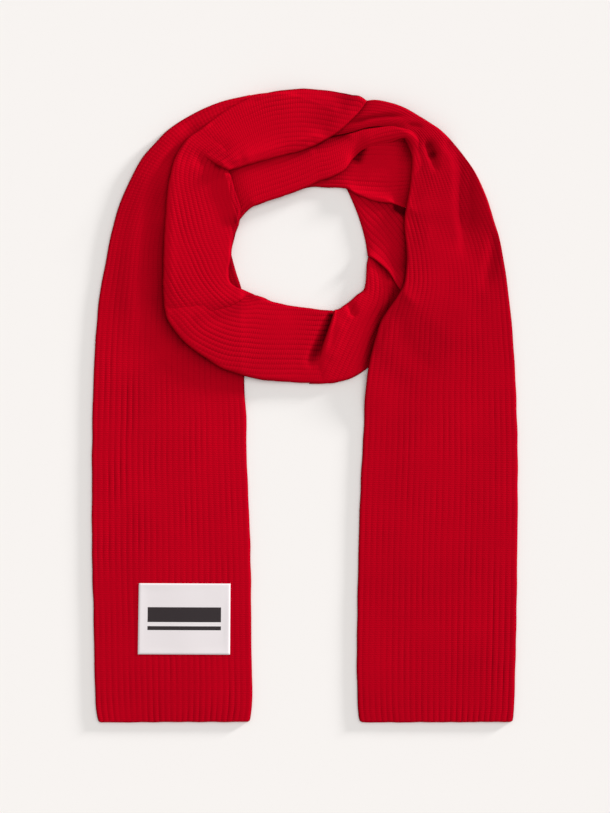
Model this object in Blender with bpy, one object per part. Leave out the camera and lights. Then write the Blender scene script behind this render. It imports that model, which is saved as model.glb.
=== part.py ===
"""A rib-knit scarf laid flat the way it is worn: one long strip wound into a spiral.

The strip runs from the left tail up and behind the neck (neck_under), down the right of the loop
(loop_right_top, loop_right_low), across the front (loop_front), up the left of the loop (loop_left),
behind the neck again on top (neck_over, with its lower fold neck_fold) and down into the right tail.
Each stretch is a ribbon lofted through the rows of a short table. Units: millimetres, turned to
metres when a mesh is made. +X right, +Y towards the back of the neck, +Z up off the table.
"""

import math

import bmesh
import bpy
import numpy as np

MM = 0.001
KNIT = 3.2  # one layer of the knit, without its ribs
FOLDED = 6.4  # the strip folded in half lengthwise, as it goes round the loop
RIB = 0.9  # how far a rib stands off the knit between two ribs
GAP = 0.5  # clearance between a stretch and what lies under it
SEAM = 0.3  # clearance between two stretches that meet end to end
LEAST = 1.4  # the thinnest that a crease may leave the knit
TAIL_RIBS = 27  # ribs across the full strip
LOOP_RIBS = 14  # ribs across the strip folded in half
CELL = 2.0  # cell of the height map that a stretch is draped over
SLOPE = 0.55  # steepest fall of a draped stretch off what it lies on
LABEL_THICK = 0.8

# Columns: inner x, inner y, outer x, outer y, height of the inner edge, of the outer edge, crown.
# The inner edge faces the neck hole (or the other tail).
TAIL_LEFT = [
    (-59.2, -333.5, -217.4, -334.1, 2.2, 2.2, 0.2),
    (-57.1, -325.8, -219.9, -325.8, 3.2, 3.2, 0.3),
    (-55.9, -305.7, -221.3, -305.7, 3.2, 3.2, 0.4),
    (-56.6, -271.9, -222.3, -271.9, 3.2, 3.2, 0.4),
    (-57.1, -216.8, -223.2, -216.8, 3.2, 3.2, 0.4),
    (-57.7, -163.9, -224.6, -163.9, 3.2, 3.2, 0.4),
    (-59.5, -110.0, -224.9, -105.7, 3.2, 3.2, 0.4),
    (-61.9, -49.7, -224.7, -47.6, 3.2, 3.2, 0.4),
    (-62.2, -15.8, -224.3, -15.8, 3.2, 3.2, 0.4),
    (-64.1, 15.9, -223.3, 18.0, 3.2, 3.2, 0.4),
    (-65.0, 42.4, -222.2, 47.7, 3.2, 3.2, 0.4),
    (-65.2, 68.8, -220.6, 74.1, 3.2, 3.3, 0.4),
    (-65.4, 95.3, -218.8, 98.4, 3.2, 3.4, 0.4),
    (-67.0, 121.7, -215.6, 123.8, 3.2, 3.5, 0.4),
    (-74.4, 145.0, -211.1, 146.1, 3.2, 3.6, 0.4),
    (-78.6, 164.0, -207.2, 167.2, 3.2, 3.8, 0.4),
    (-78.1, 179.9, -202.9, 187.3, 3.2, 4.0, 0.4),
    (-73.8, 193.7, -196.6, 208.5, 3.2, 4.2, 0.4),
    (-69.6, 202.1, -190.2, 225.4, 3.2, 4.4, 0.4),
    (-66.4, 206.9, -181.8, 243.4, 3.3, 4.6, 0.4),
    (-63.3, 210.1, -170.3, 263.0, 3.4, 4.8, 0.4),
    (-61.2, 211.7, -158.5, 276.2, 3.6, 5.0, 0.4),
    (-59.0, 212.7, -144.7, 288.4, 3.8, 5.0, 0.4),
    (-57.4, 213.2, -119.8, 304.4, 4.0, 5.0, 0.4),
    (-55.9, 213.8, -86.0, 319.3, 4.2, 5.0, 0.4),
    (-54.3, 214.2, -58.0, 326.1, 4.2, 5.0, 0.4),
]
NECK_UNDER = [
    (-54.3, 214.2, -58.0, 326.1, 4.2, 5.0, 0.4),
    (-36.8, 222.2, -36.8, 329.3, 4.2, 5.0, 0.4),
    (-15.7, 229.6, -17.8, 329.9, 4.2, 5.0, 0.4),
    (5.5, 231.5, 5.5, 323.8, 4.4, 4.8, 0.4),
    (24.5, 229.9, 26.7, 315.3, 4.6, 4.6, 0.2),
    (42.1, 229.2, 47.8, 309.0, 4.8, 4.4, 0.0),
    (54.2, 221.7, 69.0, 303.7, 4.8, 4.2, -0.4),
    (67.9, 218.5, 88.0, 298.4, 4.8, 4.2, -0.6),
    (80.6, 215.6, 105.0, 291.0, 4.6, 4.2, -0.6),
    (92.3, 211.3, 119.8, 281.5, 4.4, 4.2, -0.4),
    (105.0, 203.2, 132.5, 268.8, 4.2, 4.0, 0.0),
    (116.6, 191.6, 143.0, 248.7, 3.2, 3.0, 0.0),
]
LOOP_RIGHT_TOP = [
    (68.6, 161.4, 48.4, 227.5, 2.6, 3.0, 0.4),
    (74.3, 156.1, 57.3, 224.3, 3.4, 3.2, 0.6),
    (87.0, 141.8, 71.1, 222.2, 3.8, 3.2, 0.6),
    (97.5, 125.4, 88.0, 218.0, 3.8, 3.2, 0.6),
    (109.2, 110.1, 107.1, 207.4, 3.6, 3.2, 0.6),
    (121.9, 101.6, 130.3, 187.3, 2.8, 2.8, 0.4),
]
LOOP_RIGHT_LOW = [
    (73.7, 160.9, 122.9, 115.4, 2.8, 3.0, 0.4),
    (68.1, 151.3, 119.8, 108.0, 4.6, 4.8, 1.0),
    (65.7, 141.3, 115.5, 99.5, 5.4, 5.4, 1.6),
    (64.0, 130.2, 109.2, 89.5, 5.8, 5.6, 1.8),
    (61.9, 121.7, 100.7, 78.9, 6.0, 5.6, 2.0),
    (54.7, 116.1, 91.2, 67.2, 6.2, 5.6, 2.0),
    (47.8, 109.8, 79.6, 55.1, 6.2, 5.6, 2.0),
    (41.5, 102.7, 66.9, 42.1, 6.2, 5.6, 2.0),
    (37.2, 99.9, 47.8, 30.0, 6.2, 5.6, 1.8),
    (31.5, 98.0, 18.2, 23.5, 6.2, 5.4, 1.6),
]
LOOP_FRONT = [
    (31.5, 98.0, 18.2, 23.5, 4.2, 5.4, 0.6),
    (16.1, 100.8, 1.3, 23.3, 4.8, 5.4, 1.2),
    (1.3, 103.1, -14.6, 24.4, 5.0, 5.4, 1.6),
    (-12.5, 104.8, -30.5, 25.1, 5.2, 5.4, 1.8),
    (-24.1, 107.1, -45.3, 26.7, 5.2, 5.4, 2.0),
    (-35.8, 110.1, -59.0, 29.5, 5.2, 5.4, 2.0),
    (-44.2, 112.6, -72.8, 33.5, 5.2, 5.4, 2.0),
    (-49.0, 114.0, -87.6, 38.8, 5.2, 5.6, 2.0),
    (-51.6, 114.6, -102.4, 47.7, 5.2, 5.8, 2.0),
    (-53.1, 115.2, -116.2, 57.2, 5.0, 6.0, 1.8),
    (-54.2, 115.6, -127.8, 66.7, 4.8, 6.2, 1.6),
    (-55.0, 116.0, -136.3, 76.8, 4.6, 6.4, 1.2),
    (-55.9, 116.4, -143.4, 88.4, 4.6, 6.4, 1.0),
]
LOOP_LEFT = [
    (-55.9, 116.4, -143.4, 88.4, 7.0, 6.4, 1.0),
    (-64.3, 120.3, -147.1, 102.7, 6.8, 6.4, 1.2),
    (-72.8, 123.8, -148.8, 115.4, 6.4, 6.4, 1.2),
    (-78.6, 130.2, -149.8, 128.1, 6.0, 6.4, 1.2),
    (-79.9, 141.8, -150.0, 141.8, 5.8, 6.4, 1.2),
    (-78.6, 155.6, -149.6, 157.7, 5.8, 6.4, 1.2),
    (-77.4, 168.3, -149.0, 173.6, 5.8, 6.4, 1.2),
    (-74.9, 181.0, -148.1, 190.5, 5.8, 6.4, 1.2),
    (-70.9, 193.7, -146.9, 208.5, 5.8, 6.4, 1.2),
    (-68.6, 206.4, -145.2, 225.4, 5.8, 6.4, 1.2),
    (-70.7, 218.0, -142.6, 241.3, 5.8, 6.4, 1.2),
    (-74.4, 230.7, -138.8, 256.1, 5.6, 6.4, 1.0),
    (-77.2, 240.2, -133.6, 268.8, 5.2, 6.4, 0.8),
    (-79.6, 247.1, -125.7, 279.9, 4.6, 6.4, 0.6),
]
NECK_FOLD = [
    (-70.7, 195.8, -87.6, 257.1, 2.2, 2.4, 0.2),
    (-56.5, 211.1, -65.4, 262.4, 3.2, 3.2, 0.4),
    (-35.8, 219.1, -45.3, 268.8, 3.2, 3.2, 0.4),
    (-15.7, 225.9, -24.1, 275.1, 3.4, 3.2, 0.6),
    (2.3, 231.5, -5.1, 281.5, 3.6, 3.2, 0.8),
    (15.0, 236.7, 8.7, 287.8, 4.2, 3.2, 1.2),
    (29.8, 241.3, 22.4, 293.6, 4.8, 3.2, 1.6),
    (42.5, 248.7, 36.2, 297.4, 5.2, 3.2, 2.0),
    (49.9, 257.1, 48.9, 300.5, 5.6, 3.2, 2.2),
    (56.8, 265.6, 60.5, 302.6, 5.8, 3.2, 2.4),
    (65.5, 274.1, 72.2, 304.2, 5.8, 3.2, 2.4),
    (78.5, 279.9, 85.9, 304.2, 5.6, 3.2, 2.2),
    (91.2, 282.5, 99.7, 302.6, 5.4, 3.2, 2.0),
    (100.7, 280.4, 112.4, 298.4, 4.4, 3.0, 1.4),
]
TAIL_RIGHT = [
    (11.8, 282.5, 58.9, 320.3, 2.4, 2.4, 0.2),
    (30.9, 284.3, 75.0, 322.4, 3.2, 3.4, 0.8),
    (47.8, 287.5, 91.8, 318.7, 3.2, 3.6, 1.0),
    (65.8, 292.9, 108.8, 312.2, 3.2, 3.8, 1.0),
    (80.6, 294.2, 120.8, 305.2, 3.2, 4.0, 1.0),
    (91.2, 293.8, 132.5, 297.8, 3.4, 4.2, 1.0),
    (98.6, 289.9, 143.0, 290.8, 3.8, 4.2, 1.0),
    (103.4, 282.5, 151.5, 282.8, 4.4, 4.2, 0.8),
    (109.2, 272.0, 161.0, 272.0, 4.8, 4.2, 0.6),
    (112.4, 261.4, 168.4, 263.0, 4.8, 4.2, 0.6),
    (111.8, 246.6, 176.9, 251.3, 4.6, 4.2, 0.6),
    (110.2, 227.5, 185.4, 235.5, 4.4, 4.0, 0.6),
    (107.1, 208.5, 192.8, 217.5, 4.2, 4.0, 0.6),
    (105.4, 193.7, 199.1, 197.9, 4.0, 4.0, 0.6),
    (107.1, 169.3, 206.0, 174.6, 3.8, 3.8, 0.6),
    (107.6, 148.2, 210.8, 148.2, 3.6, 3.6, 0.6),
    (103.9, 126.0, 214.4, 123.8, 3.4, 3.4, 0.4),
    (94.4, 110.1, 216.6, 104.8, 3.2, 3.2, 0.4),
    (81.7, 91.0, 218.4, 87.9, 3.2, 3.2, 0.4),
    (75.0, 70.9, 220.0, 66.7, 3.2, 3.2, 0.4),
    (67.9, 41.8, 221.9, 39.2, 3.2, 3.2, 0.4),
    (64.7, 17.0, 222.9, 15.9, 3.2, 3.2, 0.4),
    (62.6, -26.4, 224.5, -26.4, 3.2, 3.2, 0.4),
    (59.0, -96.2, 225.0, -100.5, 3.2, 3.2, 0.4),
    (57.1, -163.9, 224.3, -163.9, 3.2, 3.2, 0.4),
    (55.9, -227.4, 223.4, -227.4, 3.2, 3.2, 0.4),
    (55.4, -271.9, 222.4, -269.7, 3.2, 3.2, 0.4),
    (56.1, -309.9, 221.3, -309.9, 3.2, 3.2, 0.4),
    (57.1, -325.8, 220.3, -325.8, 3.2, 3.2, 0.3),
    (59.5, -333.7, 218.5, -334.1, 2.2, 2.2, 0.2),
]
# Corners of the label patch, round from the one by the neck and the inner edge.
LABEL = [(-78.6, -188.7), (-175.4, -188.3), (-176.5, -263.4), (-79.1, -263.8)]

# Ridges (height above 0) and creases (below 0) in a stretch: height, half-width, then the line.
FOLDS = {
    "neck_over": [
        (2.0, 9.0, [(-68.6, 259.3), (-18.8, 270.9), (29.8, 294.2), (55.2, 314.3)]),
        (-2.2, 5.0, [(-110.9, 269.8), (-96.1, 256.1), (-81.3, 247.6)]),
    ],
    "loop_left": [
        (1.6, 6.0, [(-142.6, 111.1), (-142.6, 174.6), (-139.4, 227.5), (-127.8, 264.6)]),
        (-2.0, 5.0, [(-105.6, 266.7), (-94.0, 256.1), (-80.2, 247.6)]),
        (1.4, 8.0, [(-105.6, 111.1), (-79.1, 113.3), (-62.2, 118.5)]),
    ],
    "loop_front": [
        (-2.2, 5.0, [(-116.2, 95.3), (-87.6, 99.5), (-68.6, 106.9), (-55.9, 114.3)]),
    ],
    "loop_right_low": [
        (1.8, 6.0, [(41.5, 92.1), (33.0, 63.5), (22.4, 45.5)]),
        (-1.6, 5.0, [(49.9, 99.5), (51.0, 92.1)]),
    ],
    "tail_right": [
        (-1.8, 3.0, [(44.6, 297.4), (65.8, 304.8), (87.0, 305.8), (106.0, 305.8)]),
        (-2.2, 5.0, [(131.4, 275.1), (133.5, 266.7), (138.8, 252.9)]),
        (3.0, 7.0, [(134.6, 291.0), (147.3, 282.5), (156.8, 267.7), (158.9, 243.4), (155.7, 213.8), (150.4, 193.7)]),
        (-1.8, 9.0, [(172.7, 248.7), (176.9, 216.9), (179.0, 174.6), (174.8, 151.3)]),
        (-1.6, 6.0, [(199.1, 174.6), (195.9, 148.2), (190.7, 123.8)]),
    ],
    "neck_under": [
        (-1.6, 7.0, [(55.2, 262.4), (64.7, 269.8), (84.9, 274.1)]),
    ],
}


def spline(table, parts):
    """Rows of the table with parts - 1 more between each two, on a smooth curve through all."""
    rows = np.array(table, float)
    middle = (rows[:, 0:2] + rows[:, 2:4]) / 2
    at = np.concatenate([[0], np.cumsum(np.linalg.norm(np.diff(middle, axis=0), axis=1) + 1.0)])
    slope = np.gradient(rows, at, axis=0)
    out = []
    for i in range(len(rows) - 1):
        span = at[i + 1] - at[i]
        for k in range(parts):
            u = k / parts
            out.append(
                rows[i] * (2 * u**3 - 3 * u**2 + 1)
                + rows[i + 1] * (3 * u**2 - 2 * u**3)
                + slope[i] * span * (u**3 - 2 * u**2 + u)
                + slope[i + 1] * span * (u**3 - u**2)
            )
    out.append(rows[-1])
    return np.array(out)


def line_distance(points, line):
    """Distance of each point from a line through several points."""
    best = np.full(len(points), 1e9)
    for a, b in zip(line[:-1], line[1:]):
        a, b = np.array(a, float), np.array(b, float)
        along = np.clip(((points - a) @ (b - a)) / ((b - a) @ (b - a)), 0, 1)
        best = np.minimum(best, np.linalg.norm(points - (a + along[:, None] * (b - a)), axis=1))
    return best


def dense(grid, step=1.2):
    """Points spread over the two triangles of each cell of a grid of points, at most step apart."""
    near, far = grid[:-1], grid[1:]
    p00, p10, p01, p11 = near[:, :-1], far[:, :-1], near[:, 1:], far[:, 1:]
    nu = 1 + math.ceil(np.linalg.norm((p10 - p00)[..., :2], axis=-1).max() / step)
    nv = 1 + math.ceil(np.linalg.norm((p01 - p00)[..., :2], axis=-1).max() / step)
    u, v = (w.ravel()[:, None] for w in np.meshgrid(np.linspace(0, 1, nu), np.linspace(0, 1, nv)))
    a, b, c, d = (p[:, :, None, :] for p in (p00, p10, p01, p11))
    lower = a + (b - a) * u + (d - b) * v
    upper = a + (c - a) * v + (d - c) * u
    return np.where(u >= v, lower, upper)


class HeightMap:
    """The highest top of the stretches laid so far, on a grid of cells."""

    def __init__(self):
        self.low = np.array([-240.0, -350.0])
        self.cells = np.zeros((240, 350))

    def index(self, points):
        return np.clip(((points - self.low) / CELL).astype(int), 0, np.array(self.cells.shape) - 1).T

    def add(self, top):
        points = dense(top).reshape(-1, 3)
        np.maximum.at(self.cells, tuple(self.index(points[:, :2])), points[:, 2])

    def draped(self):
        """The same map, falling off its edges no steeper than SLOPE."""
        high = self.cells.copy()
        for _ in range(24):
            for dx, dy in ((1, 0), (-1, 0), (0, 1), (0, -1), (1, 1), (1, -1), (-1, 1), (-1, -1)):
                moved = np.roll(high, (dx, dy), (0, 1)) - SLOPE * CELL * math.hypot(dx, dy)
                high = np.maximum(high, moved)
        spread = high.copy()
        for dx, dy in ((1, 0), (-1, 0), (0, 1), (0, -1)):
            spread = np.maximum(spread, np.roll(high, (dx, dy), (0, 1)))
        return spread

    def under(self, points, draped):
        high = draped[tuple(self.index(points[..., :2].reshape(-1, 2)))].reshape(points.shape[:-1])
        return np.where(high > 0.2, high + GAP, 0.0)


def laid_base(plan, supports):
    """Height of a stretch's underside: on the table, or draped over what lies under it."""
    heights = HeightMap()
    for top in supports:
        heights.add(top)
    base = heights.under(plan, heights.draped())
    for _ in range(40):
        cells = dense(np.concatenate([plan, base[..., None]], axis=-1))
        high = heights.cells[tuple(heights.index(cells[..., :2].reshape(-1, 2)))].reshape(cells.shape[:-1])
        short = np.where(high > 0, high + 0.8 * GAP - cells[..., 2], 0).max(axis=-1).clip(0)
        if short.max() < 1e-3:
            break
        lift = np.zeros_like(base)
        for di in (0, 1):
            for dj in (0, 1):
                part = lift[di : di + short.shape[0], dj : dj + short.shape[1]]
                np.maximum(part, short, out=part)
        base = base + lift
    return base


def zipper(a, b, a_at, b_at):
    """Triangles between two lines of vertices that have different counts."""
    i = j = 0
    faces = []
    while i < len(a) - 1 or j < len(b) - 1:
        if j == len(b) - 1 or (i < len(a) - 1 and a_at[i + 1] <= b_at[j + 1]):
            faces.append((a[i], a[i + 1], b[j]))
            i += 1
        else:
            faces.append((a[i], b[j + 1], b[j]))
            j += 1
    return faces


def make_object(name, points, faces, material):
    mesh = bpy.data.meshes.new(name)
    bm = bmesh.new()
    verts = [bm.verts.new([c * MM for c in p]) for p in points]
    for face in faces:
        bm.faces.new([verts[i] for i in face])
    bmesh.ops.recalc_face_normals(bm, faces=bm.faces)
    bm.to_mesh(mesh)
    bm.free()
    obj = bpy.data.objects.new(name, mesh)
    bpy.context.scene.collection.objects.link(obj)
    mesh.materials.append(material)
    return obj


def stretch(name, table, material, ribs, parts=1, under=(), flats=6, trim=(False, False)):
    """One stretch of the strip: ribs on its top, a plain underside. Returns its top as a grid."""
    rows = spline(table, parts)
    if trim[0]:
        step = (rows[1, :4] - rows[0, :4]).reshape(2, 2)
        rows[0, :4] += (step / np.linalg.norm(step, axis=1)[:, None] * SEAM / 2).ravel()
    if trim[1]:
        step = (rows[-2, :4] - rows[-1, :4]).reshape(2, 2)
        rows[-1, :4] += (step / np.linalg.norm(step, axis=1)[:, None] * SEAM / 2).ravel()
    inner, outer = rows[:, None, 0:2], rows[:, None, 2:4]
    width = np.linalg.norm(outer - inner, axis=-1)
    edges = rows[:, 4:7]

    t_low = np.linspace(0, 1, flats + 1)[None, :].repeat(len(rows), 0)
    tuck = 0.35 * edges[:, :2] / width
    t_low[:, 0], t_low[:, -1] = tuck[:, 0], 1 - tuck[:, 1]
    plan_low = inner + (outer - inner) * t_low[..., None]
    base = laid_base(plan_low, under) if under else np.zeros(plan_low.shape[:2])

    t = np.linspace(0, 1, 2 * ribs + 1)[None, :]
    plan = inner + (outer - inner) * t[..., None]
    from_edge = np.minimum(t, 1 - t) * width
    high = edges[:, :1] * (1 - t) + edges[:, 1:2] * t + edges[:, 2:3] * (4 * t * (1 - t)) ** 0.7
    near = np.clip(from_edge / np.maximum(high, 1e-6), 0, 1)
    round_edge = 0.5 + 0.5 * np.sqrt(1 - (1 - near) ** 2)
    flat_plan = plan.reshape(-1, 2)
    for height, spread, line in FOLDS.get(name, ()):
        fold = height * np.exp(-((line_distance(flat_plan, line) / spread) ** 2))
        high = high + fold.reshape(high.shape)
    high = np.maximum(high, LEAST) * round_edge
    crest = (np.arange(2 * ribs + 1) % 2)[None, :] * RIB
    rest = np.array([np.interp(t[0], t_low[i], base[i]) for i in range(len(rows))])
    top = np.concatenate([plan, (rest + high + crest)[..., None]], axis=-1)
    low = np.concatenate([plan_low, base[..., None]], axis=-1)

    n, a, b = len(rows), 2 * ribs + 1, flats + 1
    points = np.concatenate([top.reshape(-1, 3), low.reshape(-1, 3)])
    first = n * a
    faces = []
    for i in range(n - 1):
        for j in range(a - 1):
            k = i * a + j
            faces += [(k, k + a, k + a + 1), (k, k + a + 1, k + 1)]
        for j in range(b - 1):
            k = first + i * b + j
            faces += [(k, k + b + 1, k + b), (k, k + 1, k + b + 1)]
        for top_j, low_j in ((0, 0), (a - 1, b - 1)):
            k = first + i * b + low_j
            faces.append((i * a + top_j, (i + 1) * a + top_j, k + b, k))
    for i in (0, n - 1):
        tops = [i * a + j for j in range(a)]
        lows = [first + i * b + j for j in range(b)]
        faces += zipper(tops, lows, t[0], t_low[i])
    make_object(name, points, faces, material)
    return top


def label_patch(material, below):
    """A thin patch lying on the ribs of the left tail."""
    corner = np.array(LABEL, float)
    across, along = 8, 6
    u = np.linspace(0, 1, across + 1)[:, None, None]
    v = np.linspace(0, 1, along + 1)[None, :, None]
    plan = (corner[0] * (1 - u) + corner[1] * u) * (1 - v) + (corner[3] * (1 - u) + corner[2] * u) * v
    heights = HeightMap()
    heights.add(below)
    near = heights.cells
    for _ in range(4):
        near = np.maximum.reduce([near] + [np.roll(near, s, (0, 1)) for s in ((1, 0), (-1, 0), (0, 1), (0, -1))])
    base = near[tuple(heights.index(plan.reshape(-1, 2)))].reshape(plan.shape[:2]) + SEAM
    low = np.concatenate([plan, base[..., None]], axis=-1)
    top = low + np.array([0, 0, LABEL_THICK])
    top[1:-1, 1:-1, 2] -= 0.15
    a = along + 1
    count = (across + 1) * a
    points = np.concatenate([top.reshape(-1, 3), low.reshape(-1, 3)])
    faces = []
    for i in range(across):
        for j in range(along):
            k = i * a + j
            faces.append((k, k + a, k + a + 1, k + 1))
            faces.append((count + k, count + k + 1, count + k + a + 1, count + k + a))
    rim = [i * a for i in range(across + 1)] + [across * a + j for j in range(1, a)]
    rim += [i * a + along for i in range(across - 1, -1, -1)] + [j for j in range(along - 1, 0, -1)]
    for p, q in zip(rim, rim[1:] + rim[:1]):
        faces.append((p, q, count + q, count + p))
    make_object("label_patch", points, faces, material)


def material(name, colour, roughness):
    made = bpy.data.materials.new(name)
    made.use_nodes = True
    shader = made.node_tree.nodes["Principled BSDF"]
    shader.inputs["Base Color"].default_value = (*colour, 1)
    shader.inputs["Roughness"].default_value = roughness
    return made


NECK_OVER = [
    (-79.6, 247.1, -125.7, 279.9, 7.4, 6.4, 0.6),
    (-72.8, 249.2, -111.9, 290.5, 7.0, 6.2, 0.8),
    (-61.2, 252.6, -94.5, 303.7, 6.6, 6.0, 1.0),
    (-47.4, 256.8, -69.6, 318.7, 6.4, 5.8, 1.0),
    (-33.6, 260.5, -44.2, 327.3, 6.2, 5.6, 1.0),
    (-18.8, 264.3, -22.0, 332.1, 6.0, 5.6, 1.0),
    (-7.2, 268.0, -4.0, 334.1, 6.0, 5.6, 1.0),
    (4.4, 272.8, 11.8, 333.9, 6.0, 5.6, 1.0),
    (16.1, 279.4, 26.7, 332.4, 6.0, 5.6, 1.0),
    (29.8, 287.6, 39.4, 330.1, 6.0, 5.4, 0.8),
    (43.6, 299.5, 49.9, 328.1, 5.8, 5.0, 0.6),
    (55.2, 310.3, 58.9, 326.3, 5.4, 4.8, 0.4),
    (64.3, 319.1, 65.6, 321.5, 4.2, 4.2, 0.0),
]


def main():
    for old in list(bpy.data.objects):
        bpy.data.objects.remove(old)
    knit = material("rib_knit_red", (0.47, 0.0, 0.008), 0.9)
    satin = material("label_satin", (0.80, 0.76, 0.77), 0.5)
    tail_left = stretch("tail_left", TAIL_LEFT, knit, TAIL_RIBS, flats=3, trim=(False, True))
    front = stretch(
        "loop_front", LOOP_FRONT, knit, LOOP_RIBS, parts=1, under=[tail_left], trim=(True, True)
    )
    right_low = stretch("loop_right_low", LOOP_RIGHT_LOW, knit, LOOP_RIBS, trim=(False, True))
    right_top = stretch("loop_right_top", LOOP_RIGHT_TOP, knit, LOOP_RIBS, under=[right_low])
    neck_under = stretch("neck_under", NECK_UNDER, knit, LOOP_RIBS, under=[right_top], trim=(True, False))
    fold = stretch("neck_fold", NECK_FOLD, knit, 8, under=[tail_left, neck_under, right_top])
    left = stretch(
        "loop_left", LOOP_LEFT, knit, LOOP_RIBS, under=[tail_left, neck_under, fold], trim=(True, True)
    )
    tail_right = stretch(
        "tail_right",
        TAIL_RIGHT,
        knit,
        TAIL_RIBS,
        under=[right_top, right_low, front, neck_under, fold],
        flats=14,
    )
    stretch(
        "neck_over",
        NECK_OVER,
        knit,
        LOOP_RIBS,
        under=[tail_left, neck_under, fold, tail_right],
        flats=8,
        trim=(True, False),
    )
    label_patch(satin, tail_left)


main()
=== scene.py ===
"""The looks of a rib-knit scarf that lies flat on a pale table, wound the way it is worn.

The scarf is one long strip: up the left tail, behind the neck, down the right of the loop, across
the front, up the left of the loop, behind the neck again with a lengthwise fold, and down the right
tail. Each stretch that shows is a closed shell of knit with its own ribs, draped over the stretches
below it. Lengths in the tables are millimetres, +X right, +Y towards the back of the neck.
"""

import math

import bmesh
import bpy
import numpy as np
from bpy.props import FloatProperty, PointerProperty, StringProperty
from bpy.types import NodeSocket, Operator, Panel, PropertyGroup
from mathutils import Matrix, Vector


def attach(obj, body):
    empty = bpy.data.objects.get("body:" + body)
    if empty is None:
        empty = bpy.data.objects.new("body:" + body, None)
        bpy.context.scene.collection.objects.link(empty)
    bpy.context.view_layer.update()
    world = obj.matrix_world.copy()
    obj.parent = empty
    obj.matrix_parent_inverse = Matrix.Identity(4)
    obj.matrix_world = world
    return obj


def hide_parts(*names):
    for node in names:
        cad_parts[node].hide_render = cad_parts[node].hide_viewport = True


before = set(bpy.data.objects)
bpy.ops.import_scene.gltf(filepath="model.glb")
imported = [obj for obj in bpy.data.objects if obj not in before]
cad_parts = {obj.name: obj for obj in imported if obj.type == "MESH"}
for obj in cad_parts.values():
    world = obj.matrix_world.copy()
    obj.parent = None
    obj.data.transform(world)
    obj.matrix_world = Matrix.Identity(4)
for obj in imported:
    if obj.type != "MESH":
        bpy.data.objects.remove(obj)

bl_info = {
    "name": "Rib-Knit Scarf",
    "version": (1, 0, 0),
    "blender": (4, 5, 0),
    "location": "View3D > Sidebar > Scarf",
    "description": "Dresses the solids of a laid-out scarf in rib knit and satin",
    "category": "Add Mesh",
}

MM = 0.001
LOW_CORNER = np.array([-245.0, -355.0])  # low corner of the height maps
MAP_SIZE = (490, 710)  # their size, in cells of 1 mm
COURSE = 2.35  # length of one row of stitches
GAP = 0.35  # clearance between one stretch and what it lies on
FALL = 0.35  # steepest fall of most stretches off what they lie on
OVERHANG = 0.45  # how far a tail's rounded edges stand past the lines of its table
THINNEST = 0.5  # least height of a stretch
EDGE_RADIUS = 3.2  # largest radius of a rounded edge
SWELL = 0.35  # how far a stretch rises and sinks between its creases
SIDE_WAVE, HEM_WAVE = 0.45, 0.5  # how far side edges and hems stray
LOOP_RIBS, TAIL_RIBS = 0.75, 0.48  # how strong the ribs are round the loop and in the tails
FLAT = (3.1, 3.1, 0.4, 0, 27)  # columns 5 to 9 where a tail lies flat with all its ribs on top

# Each row of a stretch runs across the strip. Columns: inner x, inner y, outer x, outer y, height
# of the inner edge, of the outer edge, crown between them, rib number at the inner edge, and at the
# outer edge. Ribs that turn under at an edge make its number change along the stretch.
TAIL_LEFT = [
    (-61.6, -335.1, -215, -335.7, 2.8, 2.8, 0.3, 0.5, 26.5),
    (-59.5, -334.2, -217.3, -334.6, 3, 3, 0.3, 0.15, 26.85),
    (-58.4, -331.9, -218.5, -332.2, 3, 3, 0.3, 0, 27),
    (-57.1, -324.8, -219.9, -324.8, 3.1, 3.1, 0.3, 0, 27),
    (-55.9, -305.7, -221.3, -305.7, *FLAT),
    (-56.6, -271.9, -222.3, -271.9, *FLAT),
    (-57.1, -216.8, -223.2, -216.8, *FLAT),
    (-57.7, -163.9, -224.6, -163.9, *FLAT),
    (-59.5, -110, -224.9, -105.7, *FLAT),
    (-61.9, -49.7, -224.7, -47.6, *FLAT),
    (-62.2, -15.8, -224.3, -15.8, *FLAT),
    (-64.1, 15.9, -223.3, 18, *FLAT),
    (-65, 42.4, -222.2, 47.7, *FLAT),
    (-65.2, 68.8, -220.6, 74.1, 3.1, 3.2, 0.4, 0, 27),
    (-65.4, 95.3, -218.8, 98.4, 3.1, 3.3, 0.4, 0, 27),
    (-67, 121.7, -215.6, 123.8, 3.1, 3.4, 0.4, 0, 27),
    (-74.4, 145, -211.1, 146.1, 3.1, 3.5, 0.4, 0, 27),
    (-78.6, 164, -207.2, 167.2, 3.1, 3.7, 0.4, 0, 27),
    (-78.1, 179.9, -202.9, 187.3, 3.1, 3.9, 0.4, 0, 27),
    (-73.8, 193.7, -196.6, 208.5, 3.1, 4.1, 0.4, 0, 27),
    (-69.6, 202.1, -190.2, 225.4, 3.1, 4.3, 0.4, 0, 27),
    (-66.4, 206.9, -181.8, 243.4, 3.2, 4.5, 0.4, 0, 27),
    (-63.3, 210.1, -170.3, 263, 3.3, 4.7, 0.4, 0, 27),
    (-61.2, 211.7, -158.5, 276.2, 3.5, 4.9, 0.4, 0, 27),
    (-59, 212.7, -145.8, 289.6, 3.7, 4.9, 0.4, 0, 27),
    (-57.4, 213.2, -120.8, 306.3, 3.9, 4.9, 0.4, 0, 27),
    (-55.9, 213.8, -86.8, 321.1, 4.1, 4.9, 0.4, 0, 27),
    (-54.3, 210.6, -58, 327.7, 4.1, 4.9, 0.4, 0, 27),
]
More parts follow.
